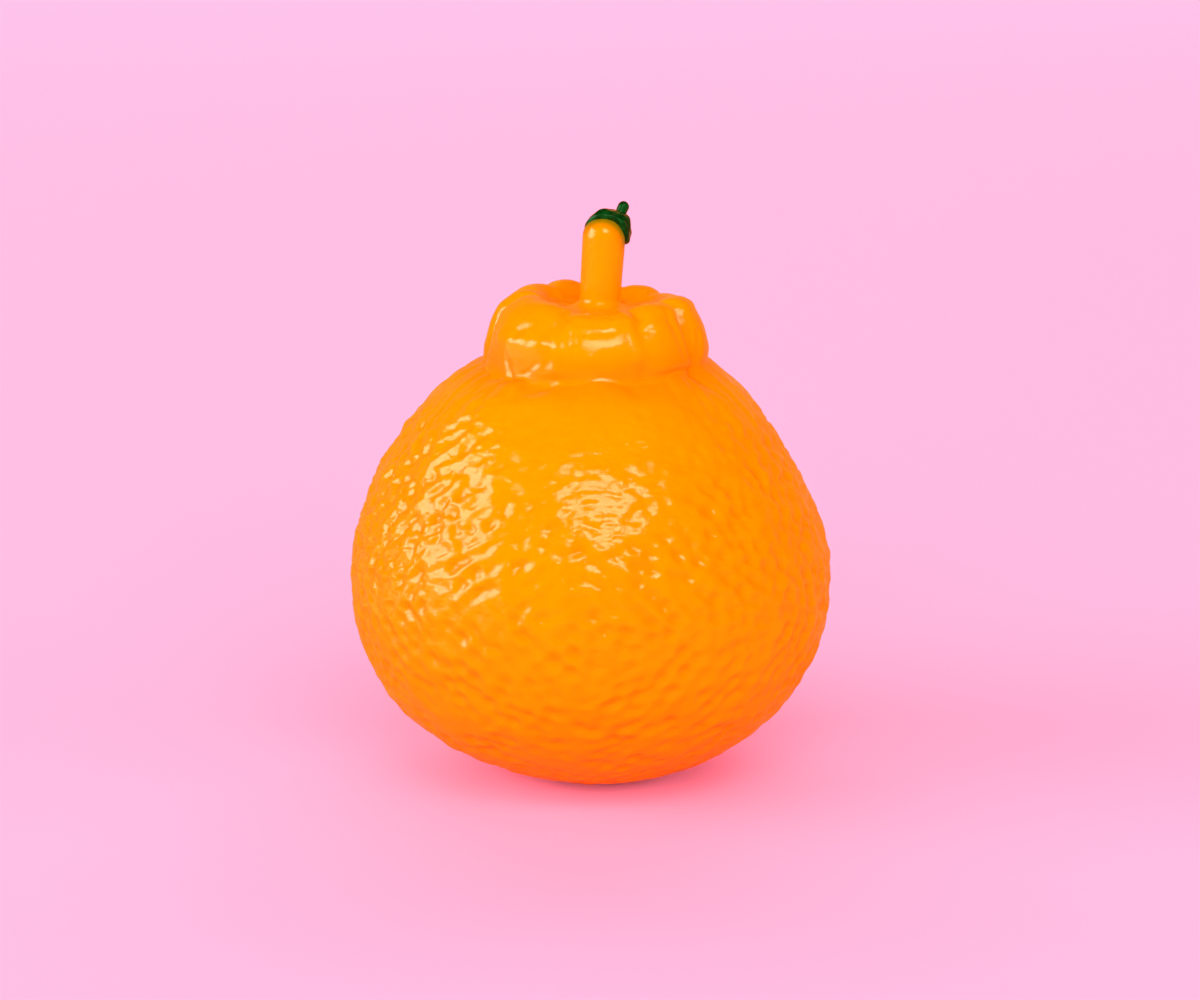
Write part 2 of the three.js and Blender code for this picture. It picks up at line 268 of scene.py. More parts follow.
def stroke_depth(angle, r, z):
    """How deep the strokes cut at a place on the skin."""
    depth = np.zeros_like(angle)
    arc = math.radians(1) * r
    for angle_a, z_a, angle_b, z_b, half_width, deep in STROKES:
        along = np.array([(angle_b - angle_a) * arc, z_b - z_a])
        past = ((angle - angle_a + 180) % 360 - 180) * arc
        up = z - z_a
        share = np.clip((past * along[0] + up * along[1]) / max(along @ along, 1e-9), 0, 1)
        far = np.hypot(past - share * along[0], up - share * along[1]) / half_width
        depth += deep * np.exp(-far * far)
    return depth


def skin_ring(row, count):
    """The skin's points along one ring, before its fine relief."""
    stretch, r, z, out, up = row
    angle = 360.0 * np.arange(count) / count
    turn = np.radians(angle)
    share = lobe_share(stretch, r, z)
    rise = smooth(z, CREASE_HEIGHT, RIM_HEIGHT)
    fold = fold_share(angle, rise) * share
    radius = r + lobe_value(2, angle) * share - FOLD_DEPTH * fold
    height = z + lobe_value(1, angle) * share * rise - lobe_value(3, angle) * share * (1 - rise)
    height = height - RIM_DROP * fold * rise
    if stretch != "dish":
        height = height + bell(z, CREASE_HEIGHT, FOOT_REACH) * waves(FOOT_WAVES, turn)
    if stretch == "collar":
        lip = LIP_SWELL + waves(LIP_WAVES, turn)
        radius = radius + bell(z, LIP_HEIGHT, LIP_REACH) * lip
    if z > STROKES_FROM_HEIGHT and stretch in ("rind", "hem", "collar"):
        cut = stroke_depth(angle, r, z)
        radius = radius - cut * out
        height = height - cut * up
    return np.stack([axis_shift(z) + radius * np.sin(turn), -radius * np.cos(turn), height], 1)


def closed_skin(first_pole, rings, last_pole):
    """Rings of points stitched into one closed skin. Returns its points and its triangles."""
    points = np.concatenate([[first_pole], *rings, [last_pole]])
    faces = []
    start = 1
    low = len(rings[0])
    faces += [(0, start + (i + 1) % low, start + i) for i in range(low)]
    for lower, upper in zip(rings, rings[1:]):
        low, high = len(lower), len(upper)
        above = start + low
        i = j = 0
        while i < low or j < high:
            a, b = start + i % low, above + j % high
            if j >= high or (i < low and (i + 1) * high <= (j + 1) * low):
                faces.append((a, start + (i + 1) % low, b))
                i += 1
            else:
                faces.append((a, above + (j + 1) % high, b))
                j += 1
        start = above
    low = len(rings[-1])
    last = len(points) - 1
    faces += [(start + i, start + (i + 1) % low, last) for i in range(low)]
    return points, faces


def joined(first, second):
    """Two skins as one list of points and one of triangles."""
    shift = len(first[0])
    faces = first[1] + [tuple(i + shift for i in face) for face in second[1]]
    return np.concatenate([first[0], second[0]]), faces


def mesh_object(name, points, faces, scale=MM):
    mesh = bpy.data.meshes.new(name)
    mesh.from_pydata((np.asarray(points) * scale).tolist(), [], faces)
    mesh.update()
    mesh.shade_smooth()
    piece = bpy.data.objects.new(name, mesh)
    scene.collection.objects.link(piece)
    return piece


def store(piece, name, values):
    """Keeps one value for each point of a piece."""
    layer = piece.data.attributes.new(name, "FLOAT", "POINT")
    layer.data.foreach_set("value", np.asarray(values, np.float32))


def apply_modifiers(piece):
    """Turns a piece with modifiers into a plain mesh."""
    bpy.context.view_layer.update()
    graph = bpy.context.evaluated_depsgraph_get()
    mesh = bpy.data.meshes.new_from_object(
        piece.evaluated_get(graph), preserve_all_data_layers=True, depsgraph=graph
    )
    mesh.name = piece.name
    piece.modifiers.clear()
    piece.data = mesh


def add(tree, kind, inputs=None, **settings):
    """Adds a node to a tree, with its settings, and with its inputs linked or set."""
    node = tree.nodes.new(kind)
    for key, value in settings.items():
        setattr(node, key, value)
    for key, value in (inputs or {}).items():
        socket = node.inputs[key]
        if isinstance(value, bpy.types.NodeSocket):
            tree.links.new(value, socket)
        else:
            socket.default_value = value
    return node


def math_node(tree, operation, a, b, c=0.0):
    inputs = {0: a, 1: b}
    if operation == "MULTIPLY_ADD":
        inputs[2] = c
    return add(tree, "ShaderNodeMath", inputs, operation=operation).outputs[0]


def product(tree, *values):
    result = values[0]
    for value in values[1:]:
        result = math_node(tree, "MULTIPLY", result, value)
    return result


def vector_math(tree, operation, a, b):
    """A result of two vectors, or of a vector and a number where the operation is SCALE."""
    key = "Scale" if operation == "SCALE" else 1
    out = "Value" if operation == "DOT_PRODUCT" else "Vector"
    return add(tree, "ShaderNodeVectorMath", {0: a, key: b}, operation=operation).outputs[out]


def span(tree, value, low, high, to_low=0.0, to_high=1.0):
    """A smooth step of a value between low and high."""
    inputs = {"Value": value, "From Min": low, "From Max": high, "To Min": to_low, "To Max": to_high}
    return add(tree, "ShaderNodeMapRange", inputs, interpolation_type="SMOOTHSTEP").outputs["Result"]


# Pitches, radii and depths of the relief, in millimetres.
RELIEF = {
    "Pit Spacing": 2.5,
    "Pit Radius": 1.9,
    "Pit Depth": 0.8,
    "Pit Wander": 1.7,
    "Swell Pitch": 7.5,
    "Swell Depth": 0.9,
    "Ripple Pitch": 1.8,
    "Ripple Depth": 0.5,
    "Flute Depth": 1.0,
}

# The pits' edges are pushed about by noise of this scale for each millimetre, and the patches where
# the pits are deeper or fainter have this pitch.
WANDER_SCALE = 0.45
PATCH_PITCH = 5.5

# The ripples between the pits run along this direction, drawn out by this share.
RIPPLE_LINE = Vector((0.8, -0.35, 0.45)).normalized()
RIPPLE_DRAW = 0.6

# The flutes' noise has a pitch of 1 and is read round a circle of this radius. It climbs this much
# for each millimetre of height.
FLUTE_CIRCLE = 14.0
FLUTE_CLIMB = 0.1


def skin_mask(tree, name):
    return add(tree, "GeometryNodeInputNamedAttribute", {"Name": name}).outputs[0]


def noise_at(tree, place, pitch):
    scale = math_node(tree, "DIVIDE", 1.0, pitch)
    inputs = {"Vector": place, "Scale": scale, "Detail": 1.0, "Roughness": 0.45}
    return add(tree, "ShaderNodeTexNoise", inputs).outputs[0]


def uneven(tree, place, pitch, mask):
    """Noise about zero, as strong as the skin's mask says."""
    about_zero = math_node(tree, "SUBTRACT", noise_at(tree, place, pitch), 0.5)
    return product(tree, about_zero, skin_mask(tree, mask))


def pit_centres(tree, given):
    """Points at even random places on the skin."""
    inputs = {
        "Mesh": given["Geometry"],
        "Distance Min": product(tree, given["Pit Spacing"], MM),
        "Density Max": 500000.0,
        "Density Factor": skin_mask(tree, "pitted"),
        "Seed": 11,
    }
    spots = add(tree, "GeometryNodeDistributePointsOnFaces", inputs, distribute_method="POISSON")
    return spots.outputs["Points"]


def pit_share(tree, given, place):
    """How deep each point lies in a pit. The pits are deep in some patches and faint in others."""
    wander = add(tree, "ShaderNodeTexNoise", {"Vector": place, "Scale": WANDER_SCALE, "Detail": 1.0})
    wander = vector_math(tree, "SUBTRACT", wander.outputs["Color"], (0.5, 0.5, 0.5))
    wander = vector_math(tree, "SCALE", wander, product(tree, given["Pit Wander"], MM))
    here = vector_math(tree, "ADD", add(tree, "GeometryNodeInputPosition").outputs[0], wander)
    inputs = {0: pit_centres(tree, given), "Sample Position": here}
    near = add(tree, "GeometryNodeProximity", inputs, target_element="POINTS")
    far = math_node(tree, "DIVIDE", near.outputs["Distance"], MM)
    far = math_node(tree, "DIVIDE", far, given["Pit Radius"])
    patch = span(tree, noise_at(tree, place, PATCH_PITCH), 0.3, 0.7, 0.4, 1.4)
    pit = product(tree, span(tree, far, 1.0, 0.0), patch, skin_mask(tree, "pitted"))
    inputs = {"Value": pit, "Iterations": 1}
    return add(tree, "GeometryNodeBlurAttribute", inputs, data_type="FLOAT").outputs[0]


def ripple_place(tree, place):
    """Where the ripples' noise is read. They are drawn out along one slanting direction, so they lie
    flat in front and stand up at the sides."""
    along = vector_math(tree, "DOT_PRODUCT", place, RIPPLE_LINE)
    along = product(tree, along, RIPPLE_DRAW)
    return vector_math(tree, "SUBTRACT", place, vector_math(tree, "SCALE", RIPPLE_LINE, along))


def flute_place(tree, place):
    """Where the flutes' noise is read: round a circle, and nearly the same at every height, so they
    run down the shoulder."""
    level = vector_math(tree, "MULTIPLY", place, (1.0, 1.0, 0.0))
    level = vector_math(tree, "NORMALIZE", level, (0.0, 0.0, 0.0))
    level = vector_math(tree, "SCALE", level, FLUTE_CIRCLE)
    climb = vector_math(tree, "MULTIPLY", place, (0.0, 0.0, FLUTE_CLIMB))
    return vector_math(tree, "ADD", level, climb)


def relief_tree():
    """The skin's relief: crowded pits, ripples between them, a slow swell, and flutes that run down
    the shoulder. It moves the skin along its normal, and stores how deep each point lies in a pit."""
    tree = bpy.data.node_groups.new("rind_relief", "GeometryNodeTree")
    face = tree.interface
    face.new_socket("Geometry", in_out="INPUT", socket_type="NodeSocketGeometry")
    for name, value in RELIEF.items():
        face.new_socket(name, in_out="INPUT", socket_type="NodeSocketFloat").default_value = value
    face.new_socket("Material", in_out="INPUT", socket_type="NodeSocketMaterial")
    face.new_socket("Geometry", in_out="OUTPUT", socket_type="NodeSocketGeometry")
    given = tree.nodes.new("NodeGroupInput").outputs
    place = add(tree, "GeometryNodeInputPosition").outputs[0]
    place = vector_math(tree, "SCALE", place, 1.0 / MM)

    pit = pit_share(tree, given, place)
    swell = uneven(tree, place, given["Swell Pitch"], "swelling")
    ripple = uneven(tree, ripple_place(tree, place), given["Ripple Pitch"], "rippled")
    flute = uneven(tree, flute_place(tree, place), 1.0, "fluted")
    lift = product(tree, swell, given["Swell Depth"])
    lift = math_node(tree, "MULTIPLY_ADD", ripple, given["Ripple Depth"], lift)
    lift = math_node(tree, "MULTIPLY_ADD", flute, given["Flute Depth"], lift)
    lift = math_node(tree, "SUBTRACT", lift, product(tree, pit, given["Pit Depth"]))
    normal = add(tree, "GeometryNodeInputNormal").outputs[0]
    offset = vector_math(tree, "SCALE", normal, product(tree, lift, MM))

    inputs = {"Geometry": given["Geometry"], "Name": "pit", "Value": pit}
    stored = add(tree, "GeometryNodeStoreNamedAttribute", inputs, data_type="FLOAT", domain="POINT")
    shaped = add(tree, "GeometryNodeSetPosition", {"Geometry": stored.outputs[0], "Offset": offset})
    whole = add(tree, "GeometryNodeRealizeInstances", {0: shaped.outputs[0]})
    inputs = {"Geometry": whole.outputs[0], "Material": given["Material"]}
    finished = add(tree, "GeometryNodeSetMaterial", inputs)
    add(tree, "NodeGroupOutput", {0: finished.outputs[0]})
    return tree


def mottle_group():
    """Uneven colour in two sizes, shared by the rind and the calyx."""
    tree = bpy.data.node_groups.new("mottle", "ShaderNodeTree")
    for name in ("Broad Scale", "Fine Scale"):
        tree.interface.new_socket(name, in_out="INPUT", socket_type="NodeSocketFloat")
    tree.interface.new_socket("Amount", in_out="OUTPUT", socket_type="NodeSocketFloat")
    given = tree.nodes.new("NodeGroupInput").outputs
    place = add(tree, "ShaderNodeTexCoord").outputs["Object"]
    inputs = {"Vector": place, "Scale": given["Broad Scale"], "Detail": 3.0}
    broad = add(tree, "ShaderNodeTexNoise", inputs).outputs[0]
    inputs = {"Vector": place, "Scale": given["Fine Scale"], "Detail": 2.0}
    fine = add(tree, "ShaderNodeTexNoise", inputs).outputs[0]
    both = math_node(tree, "MULTIPLY_ADD", fine, 0.4, product(tree, broad, 0.6))
    add(tree, "NodeGroupOutput", {0: span(tree, both, 0.38, 0.62)})
    return tree


def grain_group():
    """The finest relief, an even stipple for a bump, shared by all the materials."""
    tree = bpy.data.node_groups.new("grain", "ShaderNodeTree")
    tree.interface.new_socket("Scale", in_out="INPUT", socket_type="NodeSocketFloat")
    tree.interface.new_socket("Height", in_out="OUTPUT", socket_type="NodeSocketFloat")
    given = tree.nodes.new("NodeGroupInput").outputs
    place = add(tree, "ShaderNodeTexCoord").outputs["Object"]
    noise = add(tree, "ShaderNodeTexNoise", {"Vector": place, "Scale": given["Scale"], "Detail": 2.0})
    add(tree, "NodeGroupOutput", {0: noise.outputs[0]})
    return tree


MOTTLE = mottle_group()
GRAIN = grain_group()


def group_node(tree, group, inputs):
    node = tree.nodes.new("ShaderNodeGroup")
    node.node_tree = group
    for key, value in inputs.items():
        node.inputs[key].default_value = value
    return node.outputs[0]


def attribute_node(tree, name):
    return add(tree, "ShaderNodeAttribute", attribute_name=name).outputs["Fac"]


def mix_color(tree, factor, a, b):
    inputs = {0: factor, 6: a, 7: b}
    return add(tree, "ShaderNodeMix", inputs, data_type="RGBA").outputs[2]


def new_material(name):
    material = bpy.data.materials.new(name)
    material.use_nodes = True
    material.node_tree.nodes.clear()
    return material, material.node_tree


def finish_material(tree, inputs):
    """Ends a material in one Principled shader."""
    shader = add(tree, "ShaderNodeBsdfPrincipled", inputs)
    add(tree, "ShaderNodeOutputMaterial", {0: shader.outputs[0]})


# The rind's colours, some of them painted light and shade. The crease's darker band of painted shade
# fades in and out between these heights, in metres.
# The low and high oranges are painted light and shade: lighter at the top, darker towards the flat
# spot.
LOW_PAINTED_SHADE_ORANGE = (0.90, 0.16, 0.0, 1)
HIGH_PAINTED_LIGHT_ORANGE = (0.92, 0.185, 0.0, 1)
MOTTLE_ORANGE = (0.90, 0.155, 0.0, 1)
# The pits' orange is painted shade in the hollows.
PIT_PAINTED_SHADE_ORANGE = (0.88, 0.12, 0.0, 1)
# The crease's orange is painted shade under the collar.
CREASE_PAINTED_SHADE_ORANGE = (0.90, 0.12, 0.0, 1)
# The olive is painted shade round the calyx, with the calyx's green mirrored in it.
OLIVE_PAINTED_SHADE = (0.2, 0.11, 0.0, 1)
CREASE_PAINTED_SHADE_IN = (0.0715, 0.0765)
CREASE_PAINTED_SHADE_OUT = (0.0815, 0.0775)


def rind_tone_and_painted_shade(tree, place, mottle):
    """The rind's colour, with painted light and shade: yellower towards the top and deeper towards the
    flat spot, a painted fall of light down the body; painted shade in the pits and along the crease
    under the collar; and painted olive shade, with the calyx's green mirrored in it, where it meets the
    calyx."""
    height = add(tree, "ShaderNodeSeparateXYZ", {0: place}).outputs["Z"]
    # Painted light and shade: the colour darkens from the top down towards the flat spot.
    tone = mix_color(tree, span(tree, height, 0.012, 0.062), LOW_PAINTED_SHADE_ORANGE, HIGH_PAINTED_LIGHT_ORANGE)
    tone = mix_color(tree, product(tree, mottle, 0.3), tone, MOTTLE_ORANGE)
    # Painted shade deepens the colour in the pits.
    tone = mix_color(tree, product(tree, attribute_node(tree, "pit"), 0.4), tone, PIT_PAINTED_SHADE_ORANGE)
    # Painted shade: a darker band along the crease under the collar.
    under = span(tree, height, *CREASE_PAINTED_SHADE_IN)
    over = span(tree, height, *CREASE_PAINTED_SHADE_OUT)
    tone = mix_color(tree, product(tree, under, over, 0.5), tone, CREASE_PAINTED_SHADE_ORANGE)
    # Painted shade round the calyx, olive with the calyx's green mirrored in it.
    return mix_color(tree, attribute_node(tree, "calyx_painted_shade"), tone, OLIVE_PAINTED_SHADE)


def rind_bump(tree, place):
    """Wrinkles too fine for the mesh, laid the way of the ripples, and the stipple."""
    drawn = vector_math(tree, "MULTIPLY", place, (0.45, 0.8, 1.0))
    inputs = {"Vector": drawn, "Scale": 720.0, "Detail": 1.0}
    wrinkle = add(tree, "ShaderNodeTexNoise", inputs).outputs[0]
    wrinkle = product(tree, wrinkle, attribute_node(tree, "rippled"))
    grain = group_node(tree, GRAIN, {"Scale": 2300.0})
    height = math_node(tree, "MULTIPLY_ADD", grain, 0.3, wrinkle)
    inputs = {"Height": height, "Strength": 1.0, "Distance": 0.00014}
    return add(tree, "ShaderNodeBump", inputs).outputs[0]


def rind_material():
    material, tree = new_material("rind_gloss")
    place = add(tree, "ShaderNodeTexCoord").outputs["Object"]
    mottle = group_node(tree, MOTTLE, {"Broad Scale": 70.0, "Fine Scale": 260.0})
    inputs = {
        "Base Color": rind_tone_and_painted_shade(tree, place, mottle),
        "Roughness": span(tree, mottle, 0.0, 1.0, 0.03, 0.06),
        "IOR": 1.33,
        "Specular Tint": (1.0, 0.95, 0.62, 1),
        "Subsurface Weight": 0.2,
        "Subsurface Radius": (1.0, 0.35, 0.1),
        "Subsurface Scale": 0.002,
        "Normal": rind_bump(tree, place),
    }
    finish_material(tree, inputs)
    return material


def calyx_material():
    material, tree = new_material("calyx_gloss")
    mottle = group_node(tree, MOTTLE, {"Broad Scale": 500.0, "Fine Scale": 1600.0})
    grain = group_node(tree, GRAIN, {"Scale": 5200.0})
    bump = add(tree, "ShaderNodeBump", {"Height": grain, "Strength": 0.4, "Distance": 0.00004})
    inputs = {
        "Base Color": mix_color(tree, mottle, (0.001, 0.014, 0.001, 1), (0.0025, 0.04, 0.004, 1)),
        "Roughness": span(tree, mottle, 0.0, 1.0, 0.06, 0.14),
        "IOR": 1.2,
        "Specular Tint": (0.6, 1.0, 0.6, 1),
        "Normal": bump.outputs[0],
    }
    finish_material(tree, inputs)
    return material


def paper_material():
    """Pale pink paper. In the gloss of the fruit it shows a painted reflection colour, an orange in
    place of its pink.
    """
    material, tree = new_material("sweep_paper")
    grain = group_node(tree, GRAIN, {"Scale": 900.0})
    bump = add(tree, "ShaderNodeBump", {"Height": grain, "Strength": 0.05, "Distance": 0.0002})
    painted_reflection_ray = add(tree, "ShaderNodeLightPath").outputs["Is Glossy Ray"]
    inputs = {
        # The second colour is a painted reflection: the orange the paper shows only in glossy rays.
        "Base Color": mix_color(tree, painted_reflection_ray, (0.93, 0.35, 0.525, 1), (0.85, 0.23, 0.07, 1)),
        "Roughness": 0.85,
        "Specular IOR Level": 0.1,
        "Normal": bump.outputs[0],
    }
    finish_material(tree, inputs)
    return material


def relief_masks(points, kinds):
    """How strongly each kind of relief shows at each point of the smooth skin."""
    x, y, z = points.T
    turn = np.degrees(np.arctan2(x - axis_shift(z), -y))
    side = smooth(np.abs(turn), 12, 55)
    reach = np.hypot(x - axis_shift(z), y)
    off_spot = np.where(z < WAIST_HEIGHT, smooth(reach, FLAT_SPOT_RADIUS, FLAT_SPOT_RADIUS + 4), 1.0)
    # The pits fade up the shoulder, from lower down in front than at the sides.
    fade = 1 - smooth((z - mix(46, 58, side)) / 18, 0, 1)
    # The ripples do so too. They are fainter low on the body, and stronger on its left from the waist
    # up.
    left = smooth(-turn, 10, 50) * smooth(z, 30, 45)
    rippled = off_spot * mix(0.25, 1.0, 1 - smooth(z, mix(58, 64, side), 76))
    rippled = rippled * mix(0.6, 1.0, smooth(z, 25, 45)) * mix(1.3, 2.7, left)
    masks = {
        "pitted": off_spot * mix(0.15, 1.0, fade) * mix(0.7, 1.0, smooth(z, 5, 30)),
        "swelling": off_spot,
        "rippled": rippled,
        "fluted": smooth(z, 54, 72) * mix(0.15, 1.0, side),
    }
    # The same four on the crease's hem, the collar, the dish and the peg.
    others = {
        "hem": (0, 0.2, 0.1, 0),
        "collar": (0.1, 0.35, 0.2, 0),
        "dish": (0, 0.6, 0, 0),
        "peg": (0, 0.05, 0, 0),
    }
    for kind, shares in others.items():
        for name, share in zip(masks, shares):
            masks[name] = np.where(kinds == kind, share, masks[name])
    return masks


# The calyx, in millimetres and degrees. Directions are taken from the middle of the peg's dome. The
# hump and the stub are set against the photograph, and differ a little from the solid model's.
CUP_POLE = Vector((0.33, 0.66, 0.68)).normalized()
CUP_REACH = 71.0
CUP_DROOP = 12.0
CUP_LEAN = 8.0
CUP_WALL = 0.95
CUP_SINK = 0.25
CUP_HUMP = 1.0
HUMP_POLE = Vector((0.64, 0.4, 0.66)).normalized()
HUMP_SPREAD = 35.0
SEPALS = 5
SEPAL_POINT = 1.5
STUB_ROOT = Vector((0.52, 0.6, 0.6)).normalized()
STUB_AXIS = Vector((0.4, 0.33, 0.86)).normalized()
STUB_NECK_RADIUS = 0.98
STUB_HEAD_RADIUS = 1.02
STUB_LENGTH = 3.4
STUB_SINK = 0.5
STUB_FLARE = 1.6
STUB_FLARE_HEIGHT = 1.2
STUB_SIDES = 48
CALYX_VOXEL = 0.09


def cup_reach(turn):
    """How far down from its pole the cup reaches, in degrees, before its sepals."""
    return CUP_REACH + CUP_DROOP * np.cos(2 * turn + 2.44) + CUP_LEAN * np.cos(turn - 0.17)


def cup_upright():
    """The turn that stands the cup on its pole."""
    return np.array(Vector((0, 1, 0)).rotation_difference(CUP_POLE).to_matrix())


def calyx_painted_shade_mask(points):
    """How much painted olive shade the rind takes round the calyx: fully at the cup's edge and under
    it, and not at all about three millimetres away from it."""
    place = (points - [float(axis_shift(DOME_HEIGHT)), 0, DOME_HEIGHT]) / DOME_RADIUS
    place[:, 2] = np.where(place[:, 2] < 0, np.tan(np.clip(place[:, 2], -1.4, 0)), place[:, 2])
    place /= np.linalg.norm(place, axis=1, keepdims=True)
    across, along, up = (place @ cup_upright()).T
    away = np.degrees(np.arccos(np.clip(along, -1, 1)))
    near = 1 - smooth(away - cup_reach(np.arctan2(across, up)), 4, 48)
    return near * smooth(points[:, 2], DOME_HEIGHT - 6, DOME_HEIGHT - 4)


def add_relief(fruit):
    """Works the fine relief and the rind's material into the fruit."""
    tree = relief_tree()
    modifier = fruit.modifiers.new("relief", "NODES")
    modifier.node_group = tree
    asked = [item for item in tree.interface.items_tree if item.in_out == "INPUT"]
    sockets = {item.name: item.identifier for item in asked}
    for name, value in RELIEF.items():
        modifier[sockets[name]] = value
    modifier[sockets["Material"]] = rind_material()
    apply_modifiers(fruit)


def make_fruit():
    """Body, collar, dish and peg, in one skin."""
    top = DOME_HEIGHT + DOME_RADIUS
    rings, kinds = [], ["rind"]
    for row in outline():
        stretch, r, z = row[:3]
        if z > top - 0.001:
            continue
        count = max(FEWEST_SIDES, round(2 * math.pi * r / SKIN_EDGE[stretch]))
        rings.append(skin_ring(row, count))
        kinds += [stretch] * count
    points, faces = closed_skin((BASE_SHIFT, 0, 0), rings, (float(axis_shift(top)), 0, top))
    fruit = mesh_object("fruit_skin", points, faces)
    for name, values in relief_masks(points, np.array(kinds + ["peg"])).items():
        store(fruit, name, values)
    # Where the rind takes the painted olive shade round the calyx.
    store(fruit, "calyx_painted_shade", calyx_painted_shade_mask(points))
    add_relief(fruit)
    return fruit


def off_peg(direction, clearance):
    """Points clear of the peg: round the dome above its centre, straight down the side below it."""
    direction = np.atleast_2d(direction)
    radius = (DOME_RADIUS + np.asarray(clearance))[..., None] * np.ones((len(direction), 1))
    point = direction * radius
    low = direction[:, 2] < 0
    flat = np.linalg.norm(direction[:, :2], axis=1, keepdims=True)
    side = np.concatenate(
        [direction[:, :2] / flat * radius, radius * np.arcsin(direction[:, 2:])], 1
    )
    point = np.where(low[:, None], side, point)
    height = DOME_HEIGHT + point[:, 2]
    point[:, 0] += axis_shift(height)
    point[:, 2] = height
    return point


def cup_skin():
    """The cup: a thin knobbly cap with a rolled lip, humped up under the stub. Its inner face is sunk
    in the peg."""
    upright = cup_upright()
    sides, rows = 180, 60
    turn = 2 * math.pi * np.arange(sides) / sides
    reach = np.radians(cup_reach(turn) + SEPAL_POINT * np.cos(SEPALS * turn))
    # The lip is thick on the right, where the cup hangs down, and thins to a film on the left.
    film = mix(0.25, 1.0, smooth(np.cos(turn - 0.9), -0.9, 0.4))

    def toward(share):
        tilt = share * reach
        across = np.sin(tilt)
        direction = np.stack([across * np.sin(turn), np.cos(tilt), across * np.cos(turn)], 1)
        return direction @ upright.T

    def wall(share):
        lip = 0.1 * bell(share, 0.9, 0.06)
        groove = -0.05 * bell(share, 0.76, 0.07)
        knobs = 0.12 * np.sin(SEPALS * turn + 4 * share) + 0.1 * np.sin(3 * turn - 7 * share + 0.8)
        lumps = 0.09 * np.sin(9 * turn + 6 * share) * np.sin(13 * share + 2 * np.sin(2 * turn))
        edge = np.sqrt(np.clip(1 - smooth(share, 0.9, 1.0) ** 2, 0.0, 1.0))
        off_hump = np.degrees(np.arccos(np.clip(toward(share) @ np.array(HUMP_POLE), -1, 1)))
        hump = CUP_HUMP * bell(off_hump, 0.0, HUMP_SPREAD)
        body = CUP_WALL * mix(0.8, 1.0, share) + hump + (knobs + lumps) * smooth(share, 0.05, 0.4)
        body = body * (1 - 0.45 * smooth(share, 0.7, 1)) + lip + groove
        return np.maximum(0.02, body * edge * mix(1.0, film, smooth(share, 0.45, 0.9)))

    shares = (np.arange(rows) + 1) / rows
    inner = [off_peg(toward(s), np.full(sides, -CUP_SINK)) for s in shares]
    outer = [off_peg(toward(s), wall(s)) for s in shares][::-1]
    pole = upright @ np.array([0, 1, 0])
    inner_pole = off_peg(pole, -CUP_SINK)[0]
    outer_pole = off_peg(pole, float(wall(0.001)[0]))[0]
    return closed_skin(inner_pole, inner + outer, outer_pole)


def stub_profile():
    """The stub's outline: a flared root, a narrow neck and a round head. Radius and height."""
    rows = [(STUB_NECK_RADIUS * (1 + STUB_FLARE), -STUB_SINK)]
    for t in np.linspace(0, 1, 12):
        rows.append((STUB_NECK_RADIUS * (1 + STUB_FLARE * (1 - t) ** 2), STUB_FLARE_HEIGHT * t))
    head = STUB_LENGTH - STUB_HEAD_RADIUS
    for t in np.linspace(0.1, 1, 10):
        radius = mix(STUB_NECK_RADIUS, STUB_HEAD_RADIUS, smooth(t, 0, 1))
        rows.append((radius, mix(STUB_FLARE_HEIGHT, head, t)))
    for t in np.linspace(0.08, 0.96, 10) * math.pi / 2:
        rows.append((STUB_HEAD_RADIUS * math.cos(t), head + STUB_HEAD_RADIUS * math.sin(t)))
    return rows


def stub_skin():
    """The stub of the stalk, leaning, with its root sunk in the cup."""
    lean = np.array(Vector((0, 0, 1)).rotation_difference(STUB_AXIS).to_matrix())
    root = off_peg(np.array(STUB_ROOT), CUP_WALL)[0]
    turn = 2 * math.pi * np.arange(STUB_SIDES) / STUB_SIDES
    rings = []
    for r, z in stub_profile():
        height = np.full(STUB_SIDES, float(z))
        ring = np.stack([r * np.cos(turn), r * np.sin(turn), height], 1)
        rings.append(ring @ lean.T + root)
    foot = lean @ np.array([0, 0, -STUB_SINK]) + root
    top = lean @ np.array([0, 0, STUB_LENGTH]) + root
    return closed_skin(foot, rings, top)


def make_calyx():
    """The cup and the stub, grown together into one smooth skin."""
    points, faces = joined(cup_skin(), stub_skin())
    calyx = mesh_object("calyx_cup", points, faces, scale=1.0)
    remesh = calyx.modifiers.new("one_skin", "REMESH")
    remesh.mode = "VOXEL"
    remesh.voxel_size = CALYX_VOXEL
    remesh.use_smooth_shade = True
    soften = calyx.modifiers.new("soften", "SMOOTH")
    soften.factor = 0.5
    soften.iterations = 4
    apply_modifiers(calyx)
    calyx.data.transform(Matrix.Scale(MM, 4))
    calyx.data.shade_smooth()
    calyx.data.materials.clear()
    calyx.data.materials.append(calyx_material())
    return calyx


def make_stage():
    """A seamless sweep: a wide floor that curves up into a wall far behind the fruit. In metres."""
    half_width, front, bend, back, top = 15.0, -14.0, 4.0, 5.2, 4.2
    radius = back - bend
    profile = [(y, 0.0) for y in np.linspace(front, bend, 12)]
    for a in np.linspace(0, math.pi / 2, 25)[1:]:
        profile.append((bend + radius * math.sin(a), radius * (1 - math.cos(a))))
    profile.append((back, top))
    points = [(x, y, z) for y, z in profile for x in (-half_width, half_width)]
    faces = [(2 * i, 2 * i + 1, 2 * i + 3, 2 * i + 2) for i in range(len(profile) - 1)]
    sweep = mesh_object("sweep", points, faces, scale=1.0)
    sweep.data.materials.append(paper_material())


# What the softboxes face, in metres.
FRUIT_MIDDLE = Vector((0, 0, 0.05))


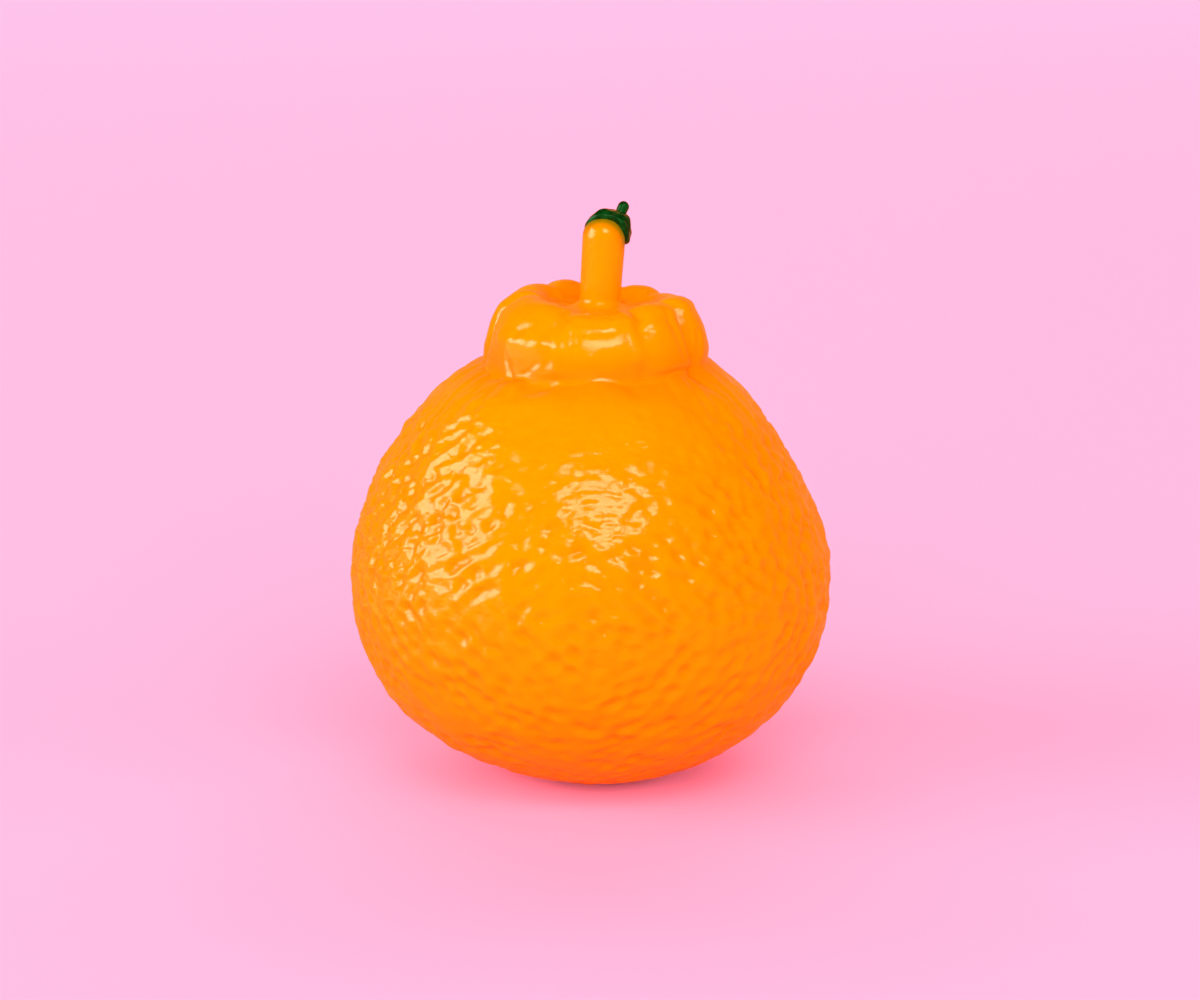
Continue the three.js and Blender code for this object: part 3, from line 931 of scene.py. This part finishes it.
def area_lamp(name, place, turn, width, length, radiance, lights=True, shines=True):
    """A rectangular light that the camera can't see. One that doesn't light makes only highlights,
    and one that doesn't shine makes none."""
    light = bpy.data.lights.new(name, "AREA")
    light.shape = "RECTANGLE"
    light.size = width
    light.size_y = length
    light.energy = radiance * math.pi * width * length
    lamp = bpy.data.objects.new(name, light)
    lamp.location = place
    lamp.rotation_euler = turn
    lamp.visible_camera = False
    lamp.visible_diffuse = lights
    lamp.visible_glossy = shines
    scene.collection.objects.link(lamp)
    return lamp


def softbox(name, azimuth, elevation, distance, width, height, radiance, **shows):
    """A rectangular light that faces the fruit. The azimuth is from the front, positive to the right.
    The width and height are in degrees, as the fruit sees them. What it shows is as in area_lamp."""
    a, e = math.radians(azimuth), math.radians(elevation)
    away = Vector((math.sin(a) * math.cos(e), -math.cos(a) * math.cos(e), math.sin(e)))
    width, height = (2 * distance * math.tan(math.radians(seen / 2)) for seen in (width, height))
    turn = away.to_track_quat("Z", "Y").to_euler()
    area_lamp(name, FRUIT_MIDDLE + away * distance, turn, width, height, radiance, **shows)


def make_light():
    """Soft studio light: boxes in front and on the left, each with a lamp for its highlight, and weak
    fills all round."""
    world = bpy.data.worlds.new("studio")
    scene.world = world
    world.use_nodes = True
    background = world.node_tree.nodes["Background"]
    background.inputs["Color"].default_value = (1.0, 0.97, 0.98, 1)
    background.inputs["Strength"].default_value = 0.24
    world.cycles_visibility.glossy = False
    softbox("front_box", 10, 43, 3.0, 34, 17, 4.5)
    softbox("front_glint", 10, 43, 2.9, 34, 17, 7.8, lights=False)
    softbox("left_box", -76, 20, 2.8, 46, 38, 3.0)
    softbox("left_glint", -77, 24, 0.5, 28, 38, 8.0, lights=False)
    for side, radiance in ((-1, 3.7), (0, 7.2), (1, 3.0)):
        softbox("low_fill", 62 * side, 18, 9.0, 58, 24, radiance, shines=False)
    softbox("front_fill", 0, 45, 7.0, 90, 24, 0.9, shines=False)
    softbox("rear_fill", 180, 32, 4.2, 70, 20, 1.0, shines=False)
    # One level light hangs over the floor behind the fruit. The other lies just over the floor and
    # faces up: a warm glow that only the gloss of the fruit mirrors.
    area_lamp("back_fill", (0, 2.6, 2.4), (0, 0, 0), 5.0, 1.6, 2.6, shines=False)
    glow = area_lamp("floor_glint", (-0.36, -0.1, 0.003), (math.pi, 0, 0), 0.34, 0.4, 2.2, lights=False)
    glow.data.color = (1.0, 0.8, 0.35)


def make_camera():
    """The photograph's view: a little from above, through a long lens."""
    target = Vector((0.0017, 0, 0.0505))
    tilt = math.radians(12.5)
    distance = 0.6
    away = Vector((0, -math.cos(tilt), math.sin(tilt)))
    camera = bpy.data.objects.new("camera", bpy.data.cameras.new("camera"))
    camera.location = target + distance * away
    camera.rotation_euler = away.to_track_quat("Z", "Y").to_euler()
    camera.data.sensor_width = 36.0
    camera.data.lens = 100.7
    camera.data.clip_start = 0.01
    scene.collection.objects.link(camera)
    scene.camera = camera


make_camera()
make_stage()
make_light()

fruit = make_fruit()
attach(fruit, "root")
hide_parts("fruit")

calyx = make_calyx()
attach(calyx, "root")
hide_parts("calyx")

scene.view_settings.view_transform = "Standard"
